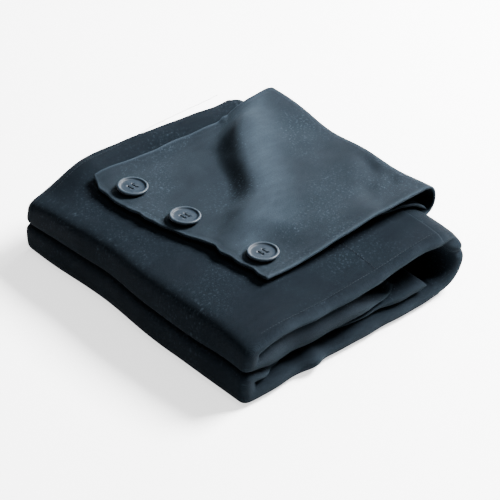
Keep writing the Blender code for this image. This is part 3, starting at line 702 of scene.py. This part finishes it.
def thin_skin(name, top, thick, wear_width, uv_along, body, material=OUTER_CLOTH, rubbed_and_painted_highlight=0.0):
    """A thin closed sheet under a grid of points: the grid, the same grid one thickness lower along its
    own normals, and a rounded edge between the two. Its edges are worn, and it is paler where a painted
    highlight is given."""
    rows, columns = top.shape[:2]
    down = np.cross(np.gradient(top, axis=1), np.gradient(top, axis=0))
    down /= np.linalg.norm(down, axis=-1, keepdims=True)
    middle = top + down * thick / 2
    round_share = 0.30
    height = np.full((rows, columns), thick / 2)
    height[[0, -1], :] *= round_share
    height[:, [0, -1]] *= round_share
    upper, lower = middle - down * height[..., None], middle + down * height[..., None]
    count = rows * columns
    row, column = np.meshgrid(np.arange(rows - 1), np.arange(columns - 1), indexing="ij")
    first = row * columns + column
    quads = np.stack([first, first + 1, first + columns + 1, first + columns], axis=-1).reshape(-1, 4)
    front, right = np.arange(columns), np.arange(1, rows) * columns + columns - 1
    rear, left = (rows - 1) * columns + np.arange(columns - 2, -1, -1), np.arange(rows - 2, 0, -1) * columns
    ring = np.concatenate([front, right, rear, left])
    following = np.roll(ring, -1)
    wall = np.stack([ring, ring + count, following + count, following], axis=-1)
    faces = np.concatenate([quads, quads[:, ::-1] + count, wall])
    step = np.linalg.norm(np.diff(top, axis=1), axis=-1).mean(axis=0)
    across = np.concatenate([[0], np.cumsum(step)])
    flat = np.stack(np.broadcast_arrays(across[None, :], uv_along[:, None]), axis=-1).reshape(-1, 2)
    flat = np.concatenate([flat, flat + 0.004])
    side = np.minimum(across - across[0], across[-1] - across)
    from_front = (uv_along - uv_along[0])[:, None]
    wear_plus_painted_highlight = np.maximum(ease(1 - np.minimum(side, from_front) / wear_width), rubbed_and_painted_highlight)
    points = np.concatenate([upper.reshape(-1, 3), lower.reshape(-1, 3)])
    return make_piece(
        name, points, faces, flat[faces], np.concatenate([wear_plus_painted_highlight.reshape(-1)] * 2), material, body
    )


def closer_at_ends(count):
    """Shares from 0 to 1: this many evenly spaced ones, and four more that crowd towards each end."""
    return np.concatenate(
        [[0, 0.002, 0.006, 0.012], np.linspace(0.02, 0.98, count), [0.988, 0.994, 0.998, 1]]
    )


u = closer_at_ends(96)
v = np.concatenate([[0, 0.002, 0.007, 0.014], np.linspace(0.022, 0.994, 96), [0.998, 1]])
grid_u, grid_v = np.meshgrid(u, v)
leaf_x, leaf_y = flap_place(grid_u, grid_v)
leaf = np.stack([leaf_x, leaf_y, flap_height(leaf_x, leaf_y)], axis=-1)
SEAM_INSET = 0.0065
LEAF_WIDTH, LEAF_LENGTH = 0.292, 0.250
from_edge = np.minimum(np.minimum(grid_u, 1 - grid_u) * LEAF_WIDTH, grid_v * LEAF_LENGTH)
leaf[..., 2] -= 0.0007 * hump(from_edge - SEAM_INSET, 0.0012) + 0.0004 * ease(1 - from_edge / 0.003)
# Painted highlight: a pale band along the right side of the flap's ridge, where the cloth faces the lamp.
crest_painted_highlight = 0.75 * hump(across_ridge(leaf_x, leaf_y) - 0.026, 0.024) * past(leaf_y, -0.100, 0.06)
flap_leaf = thin_skin(
    "flap_leaf", leaf, FLAP_THICK - FLAP_GAP, 0.004, v * LEAF_LENGTH, "flap", FLAP_CLOTH_PAINTED_LIGHTER, crest_painted_highlight
)
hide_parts("flap_cover", "flap_interlining", "flap_lining")


FOLD_THICK = FLAP_THICK - 2 * FLAP_GAP


def fold_ring(x, angle, depth):
    """(y, z) on the flap's round fold at this x: a half ellipse from the flap's level down to the stack."""
    top, bottom = fold_top(x), stack_top(x, fold_y(x)) + 0.0003
    radius = (top - bottom) / 2
    return fold_y(x) + (
        FOLD_DEPTH - depth
    ) * np.cos(angle), (top + bottom) / 2 + (radius - depth) * np.sin(angle)


edge_left, edge_right = FLAP_LEFT[1], FLAP_RIGHT[1]
u = closer_at_ends(70)
angles = np.radians(np.linspace(90, -90, 25))
fold_x, fold_angle = np.meshgrid(edge_left + (edge_right - edge_left) * u, angles)
ring_y, ring_z = fold_ring(fold_x, fold_angle, 0.0002)
ring_x = fold_x + 0.0006 * ripple(fold_x * 0, ring_y, ring_z, 0.03, 51)
before = np.stack([fold_x[:1], ring_y[:1] - 0.005, ring_z[:1]], axis=-1)
after = np.stack([fold_x[-1:], ring_y[-1:] - 0.005, ring_z[-1:]], axis=-1)
fold = np.concatenate([before, np.stack([ring_x, ring_y, ring_z], axis=-1), after])[::-1]
fold_along = np.concatenate([[0], np.cumsum(np.linalg.norm(np.diff(fold[:, 35], axis=0), axis=-1))])
flap_fold = thin_skin("flap_round_fold", fold[:, ::-1], FOLD_THICK, 0.003, fold_along, None, FLAP_CLOTH_PAINTED_LIGHTER)
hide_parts("flap_fold_cover", "flap_fold_interlining", "flap_fold_lining")
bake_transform(flap_fold)

v = np.concatenate([[0, 0.004, 0.014], np.linspace(0.03, 1, 20)])
grid_u, grid_v = np.meshgrid(u, v)
tail_x = edge_left + 0.002 + (edge_right - edge_left - 0.004 - 0.012 * (1 - grid_v)) * grid_u
tail_y = TAIL_FRONT_Y + (fold_y(tail_x) - TAIL_FRONT_Y) * grid_v
tail_z = stack_top(tail_x, tail_y) + FLAP_THICK - 0.0008 + 0.0003
tail = np.stack([tail_x, tail_y, tail_z], axis=-1)
flap_tail = thin_skin("flap_tail", tail, FOLD_THICK, 0.003, v * 0.062, "upper_fold")
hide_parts("flap_tail_cover", "flap_tail_interlining", "flap_tail_lining")


# ---------------------------------------------------------------- stitching
# Topstitches in a matching thread: along the flap's hem, and along the seams that close the quilt's sides
# and cross its top. Each stitch is a short thread that dips into the cloth at its ends.


def thread_material(name, dark, light, roughness):
    """Twisted thread: slanted plies along it, from object coordinates."""
    made, tree, shader = empty_material(name)
    place = add_node(tree, "ShaderNodeTexCoord").outputs["Object"]
    twist = {"Vector": place, "Scale": 420.0, "Distortion": 0.6}
    plies = add_node(
        tree, "ShaderNodeTexWave", twist, wave_type="BANDS", bands_direction="DIAGONAL"
    ).outputs["Fac"]
    raised = {"Height": plies, "Strength": 0.5, "Distance": 0.0003}
    fill_inputs(tree, shader, {
        "Base Color": mix_colours(tree, plies, (*dark, 1), (*light, 1)),
        "Normal": add_node(tree, "ShaderNodeBump", raised).outputs["Normal"],
        "Roughness": roughness,
        "Specular IOR Level": 0.08,
        "Sheen Weight": 0.02,
    })
    return made


THREAD = thread_material("slate_thread", (0.002, 0.004, 0.006), (0.006, 0.010, 0.014), 0.9)


def stitch_row(name, line, normals, body, pitch=0.0042, length=0.0030, width=0.00035):
    """Short pointed threads spaced along a line of points that lies on a surface: each is a small
    six-sided spindle, arched a little out of the surface."""
    gaps = np.linalg.norm(np.diff(line, axis=0), axis=-1)
    distance = np.concatenate([[0], np.cumsum(gaps)])
    centres = np.arange(pitch / 2, distance[-1], pitch)
    at = [
        np.stack(
            [np.interp(centres + shift, distance, line[:, k]) for k in range(3)], axis=-1
        ) for shift in (-length / 2, 0, length / 2)
    ]
    up = np.stack([np.interp(centres, distance, normals[:, k]) for k in range(3)], axis=-1)
    up /= np.linalg.norm(up, axis=-1, keepdims=True)
    forward = at[2] - at[0]
    forward /= np.linalg.norm(forward, axis=-1, keepdims=True)
    aside = np.cross(forward, up)
    along = np.array([-0.5, -0.40, 0.0, 0.40, 0.5])
    girth = np.array([0.0, 0.75, 1.0, 0.75, 0.0])
    arch = np.array([-0.6, 0.1, 0.7, 0.1, -0.6]) * width
    turn = np.linspace(0, 2 * math.pi, 7)[:-1]
    spot = at[1][:, None, None, :] + forward[:, None, None, :] * (along * length)[None, :, None, None]
    spot = spot + up[:, None, None, :] * (
        arch[None, :, None, None] + (girth[:, None] * np.sin(turn))[None, ..., None] * width
    )
    spot = spot + aside[:, None, None, :] * (girth[:, None] * np.cos(turn))[None, ..., None] * width
    faces, _ = skin_faces(5, 6)
    faces = (faces[None] + (np.arange(len(centres)) * 30)[:, None, None]).reshape(-1, 4)
    made = make_piece(name, spot, faces, None, 0.0, THREAD, body)
    return made


def on_surface(height, x, y, step, sunk):
    """Points sunk a little into a surface of this height, and its normals there from small differences."""
    z = height(x, y)
    slope_x, slope_y = (height(x + step, y) - z) / step, (height(x, y + step) - z) / step
    return np.stack([x, y, z - sunk], axis=-1), np.stack([-slope_x, -slope_y, np.ones_like(x)], axis=-1)


hem_u, hem_v = SEAM_INSET / LEAF_WIDTH, SEAM_INSET / LEAF_LENGTH
sides = np.linspace(0.985, hem_v, 160)
fronts = np.linspace(hem_u, 1 - hem_u, 160)
hem_line_u = np.concatenate([np.full(160, hem_u), fronts, np.full(160, 1 - hem_u)])
hem_line_v = np.concatenate([sides, np.full(160, hem_v), sides[::-1]])
hem_points, hem_normals = on_surface(flap_height, *flap_place(hem_line_u, hem_line_v), 0.0008, 0.0006)
hem_stitches = stitch_row("flap_hem_stitches", hem_points, hem_normals, "flap")


SEAM_Y, SIDE_SEAM_X = 0.031, 0.187
SEAM_STEP, SEAM_SUNK = 0.001, 0.0002
seam_x = np.linspace(-SIDE + 0.012, SIDE - 0.012, 200)
cross_seam = on_surface(stack_top, seam_x, np.full(200, SEAM_Y), SEAM_STEP, SEAM_SUNK)
stitch_row("upper_fold_cross_seam", *cross_seam, "upper_fold")
seam_y = np.linspace(-0.146, REAR - 0.004, 200)
for word, side in (("left", -1), ("right", 1)):
    side_seam = on_surface(stack_top, np.full(200, side * SIDE_SEAM_X), seam_y, SEAM_STEP, SEAM_SUNK)
    stitch_row(f"upper_fold_side_seam_{word}", *side_seam, "upper_fold")


# ---------------------------------------------------------------- buttons
# Three four-hole buttons of dark slate resin, cast with a raised rim round a dished face. Each is sewn
# on through its holes with a wound thread shank, so it stands clear of the flap and leans a little.

BUTTON_RADIUS, BUTTON_THICK, SHANK = 0.0190, 0.0048, 0.0055
HOLE_RADIUS, HOLE_HALF = 0.00155, 0.0031
LEANS = {"left": (-0.74, 0.67, 4.0), "middle": (1.0, 0.0, -4.0), "right": (1.0, 0.0, -2.0)}


def button_resin():
    """Cast resin: a cloudy slate body, fine turning rings round the dish, and paler worn high spots."""
    made, tree, shader = empty_material("slate_button_resin")
    place = add_node(tree, "ShaderNodeTexCoord").outputs["Object"]
    clouds = noise(tree, place, 140.0, 4.0, 0.6)
    body = mix_colours(tree, clouds, (0.0020, 0.0040, 0.0065, 1), (0.0060, 0.0100, 0.0150, 1))
    wear_and_highlight_mask = add_node(tree, "ShaderNodeAttribute", attribute_name="edge_wear_and_painted_highlight").outputs["Fac"]
    rough = add_node(tree, "ShaderNodeMapRange", {"Value": clouds, "To Min": 0.40, "To Max": 0.58})
    scratches = {"Height": noise(tree, place, 900.0, 2.0), "Strength": 0.12, "Distance": 0.0002}
    fill_inputs(tree, shader, {
        "Base Color": mix_colours(tree, wear_and_highlight_mask, body, (0.010, 0.016, 0.022, 1)),
        "Roughness": rough.outputs["Result"],
        "Normal": add_node(tree, "ShaderNodeBump", scratches).outputs["Normal"],
        "Specular IOR Level": 0.08,
    })
    return made


RESIN = button_resin()
BUTTON_PROFILE = np.array([
    (0.0, 0.0), (0.55, 0.0), (0.80, 0.06), (0.93, 0.20), (
        0.985, 0.36
    ), (1.0, 0.55), (0.995, 0.72), (0.975, 0.86),
    (0.94, 0.96), (0.905, 1.0), (
        0.865, 0.985
    ), (0.835, 0.93), (0.81, 0.80), (0.785, 0.66), (0.75, 0.595), (0.68, 0.565),
    (0.55, 0.555), (0.42, 0.56), (0.22, 0.575), (0.0, 0.58)])


def turned_shape(profile, segments=72):
    """Points and faces of a profile of (radius, height) turned about the upright axis."""
    turn = np.linspace(0, 2 * math.pi, segments + 1)[:-1]
    radius, height = profile[:, 0, None], profile[:, 1, None]
    points = np.stack([radius * np.cos(turn), radius * np.sin(turn), height + 0 * turn], axis=-1)
    faces, _ = skin_faces(len(profile), segments)
    return points.reshape(-1, 3), faces


STRAND_SIDES = 8


def strand_shape(line, width):
    """Points and faces of a round thread along a line of points, pointed at its ends."""
    forward = np.gradient(line, axis=0)
    forward /= np.linalg.norm(forward, axis=-1, keepdims=True)
    aside = np.cross(forward, np.array([0.31, 0.87, 0.38]))
    aside /= np.linalg.norm(aside, axis=-1, keepdims=True)
    other = np.cross(forward, aside)
    girth = np.full(len(line), width)
    girth[[0, -1]] = 0
    girth[[1, -2]] *= 0.8
    turn = np.linspace(0, 2 * math.pi, STRAND_SIDES + 1)[:-1]
    ring = aside[:, None] * np.cos(turn)[None, :, None] + other[:, None] * np.sin(turn)[None, :, None]
    points = line[:, None] + ring * girth[:, None, None]
    faces, _ = skin_faces(len(line), STRAND_SIDES)
    return points.reshape(-1, 3), faces


def joined(shapes):
    """One set of points and faces from several."""
    offsets = np.cumsum([0] + [len(points) for points, _ in shapes[:-1]])
    return np.concatenate([points for points, _ in shapes]), np.concatenate(
        [faces + n for (_, faces), n in zip(shapes, offsets)]
    )


def moved(points, place):
    """The points, turned and moved by a 4 x 4 matrix."""
    return points @ np.array(place)[:3, :3].T + np.array(place)[:3, 3]


def drill_holes(made, place):
    """Cuts the four thread holes with round bars, then keeps the result as the mesh."""
    low, high = SHANK - 0.003, SHANK + 0.008
    points, faces = turned_shape(np.array([(0, low), (HOLE_RADIUS, low), (HOLE_RADIUS, high), (0, high)]), 20)
    places = [(across, along, 0) for across in (-HOLE_HALF, HOLE_HALF) for along in (-HOLE_HALF, HOLE_HALF)]
    points, faces = joined([(points + place_of_one, faces) for place_of_one in places])
    mesh = bpy.data.meshes.new("bars")
    mesh.from_pydata(points.tolist(), [], faces.tolist())
    mesh.transform(place)
    merge_and_turn_out(mesh, 1e-6)
    cutter = bpy.data.objects.new("bars", mesh)
    bpy.context.scene.collection.objects.link(cutter)
    cut = made.modifiers.new("holes", "BOOLEAN")
    cut.operation, cut.solver, cut.object = "DIFFERENCE", "EXACT", cutter
    bpy.context.view_layer.update()
    finished = bpy.data.meshes.new_from_object(made.evaluated_get(bpy.context.evaluated_depsgraph_get()))
    made.modifiers.clear()
    made.data = finished
    bpy.data.objects.remove(cutter)


WINDINGS, WINDING_RADIUS = 7, 0.0021
SHANK_PROFILE = np.array([
    (0, 0), (0.0016, 0.0002), (0.0020, SHANK / 2),
    (0.0036, SHANK - 0.0008), (0.0050, SHANK - 0.0003), (0, SHANK - 0.0002)])

for word, (axis_x, axis_y, lean) in LEANS.items():
    origin = Vector(joints[f"{word}_button_tilt"]["pos_m"])
    place = Matrix.Translation(origin) @ Matrix.Rotation(math.radians(lean), 4, Vector((axis_x, axis_y, 0)))
    profile = BUTTON_PROFILE * (BUTTON_RADIUS, BUTTON_THICK) + (0, SHANK)
    points, faces = turned_shape(profile)
    radius = np.hypot(points[:, 0], points[:, 1]) / BUTTON_RADIUS
    wear_plus_painted_highlight = hump(radius - 0.905, 0.05) * ease((points[:, 2] - SHANK - BUTTON_THICK * 0.8) / 0.001) * 0.8
    points = moved(points, place)
    disc = make_piece(f"{word}_button_disc", points, faces, None, wear_plus_painted_highlight, RESIN, f"{word}_button")
    drill_holes(disc, place)
    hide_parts(f"{word}_button")
    face = SHANK + BUTTON_THICK * 0.57
    turns = np.linspace(0, 2 * math.pi * WINDINGS, 170)
    wound = np.linspace(0.0004, SHANK - 0.0006, 170)
    winding = np.stack([WINDING_RADIUS * np.cos(turns), WINDING_RADIUS * np.sin(turns), wound], axis=-1)
    shapes = [strand_shape(winding, 0.00055), turned_shape(SHANK_PROFILE, 24)]
    for along in (-HOLE_HALF, HOLE_HALF):
        for shift in (-0.0004, 0.0004):
            t = np.linspace(-1, 1, 17)
            arch = np.clip(1.22 - np.abs(t) ** 6 * 2.2, -1, 1)
            beside = along + shift + 0.0002 * np.sin(t * 3)
            height = face + 0.0005 * arch - 0.004 * np.clip(np.abs(t) - 0.88, 0, 1) / 0.12
            line = np.stack([t * (HOLE_HALF + 0.0002), beside, height], axis=-1)
            shapes.append(strand_shape(line, 0.00048))
    if word == "left":
        t = np.linspace(0, 1, 24)
        beside = -0.001 - 0.004 * t + 0.0015 * np.sin(t * 7)
        height = SHANK * 0.5 - (SHANK * 0.5 - 0.0004) * ease(t * 1.6) + 0.0006 * np.sin(t * 6)
        tail_end = np.stack([0.004 + 0.021 * t, beside, height], axis=-1)
        shapes.append(strand_shape(tail_end, 0.00045))
    points, faces = joined(shapes)
    points = moved(points, place)
    sewing = make_piece(f"{word}_button_sewing", points, faces, None, 0.0, THREAD, f"{word}_button")
    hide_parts(f"{word}_button_thread")


# ---------------------------------------------------------------- inlet and heater parts
# Moulded and wired parts that keep their modelled shape: the power inlet in the left edge with its three
# contacts, and the heating cables, lead, sensor and thermostat that are sewn inside the quilt.


def hard_finish(name, dark, light, scale, roughness, metallic=0.0):
    """A moulded or drawn finish: two close tones in fine grain, and a grained surface."""
    made, tree, shader = empty_material(name)
    place = add_node(tree, "ShaderNodeTexCoord").outputs["Object"]
    grain = noise(tree, place, scale, 4.0, 0.6)
    between = {"Value": grain, "To Min": roughness - 0.08, "To Max": roughness + 0.08}
    raised = {"Height": grain, "Strength": 0.15, "Distance": 0.0003}
    fill_inputs(tree, shader, {
        "Base Color": mix_colours(tree, grain, (*dark, 1), (*light, 1)),
        "Roughness": add_node(tree, "ShaderNodeMapRange", between).outputs["Result"],
        "Normal": add_node(tree, "ShaderNodeBump", raised).outputs["Normal"],
        "Metallic": metallic,
        "Specular IOR Level": 0.15,
    })
    return made


def bent_cable(node, body, shape):
    """The modelled cable as it lies in the settled quilt: its points are moved as the quilt's own are."""
    modelled = frame["nodes"][node].data
    points = np.array([corner.co for corner in modelled.vertices])
    faces = np.array([list(face.vertices) for face in modelled.polygons])
    made = make_piece(f"{node}_sewn_in", shape(settle(points)), faces, None, 0.0, CABLE_RUBBER, body)
    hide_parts(node)


CABLE_RUBBER = hard_finish("cable_rubber", (0.010, 0.010, 0.012), (0.028, 0.028, 0.032), 700.0, 0.5)
INLET_PLASTIC = hard_finish("inlet_plastic", (0.009, 0.009, 0.010), (0.024, 0.025, 0.027), 1400.0, 0.45)
CONTACT_BRASS = hard_finish(
    "contact_brass_drawn", (0.55, 0.40, 0.17), (0.80, 0.64, 0.32), 500.0, 0.3, metallic=1.0
)
WHITE_CERAMIC = hard_finish("sensor_ceramic", (0.60, 0.58, 0.52), (0.78, 0.76, 0.70), 600.0, 0.45)
for finish, nodes in (
    (CABLE_RUBBER, ("supply_lead",)),
    (INLET_PLASTIC, ("inlet_housing",)),
    (CONTACT_BRASS, ("inlet_contact_live", "inlet_contact_neutral", "inlet_contact_sensor")),
    (WHITE_CERAMIC, ("overheat_thermostat", "temperature_sensor")),
):
    for node in nodes:
        for slot in frame["nodes"][node].material_slots:
            slot.material = finish


bent_cable("lower_heating_cable", "lower_fold", pucker_right_end)
bent_cable("upper_heating_cable", "upper_fold", crease_right_end)
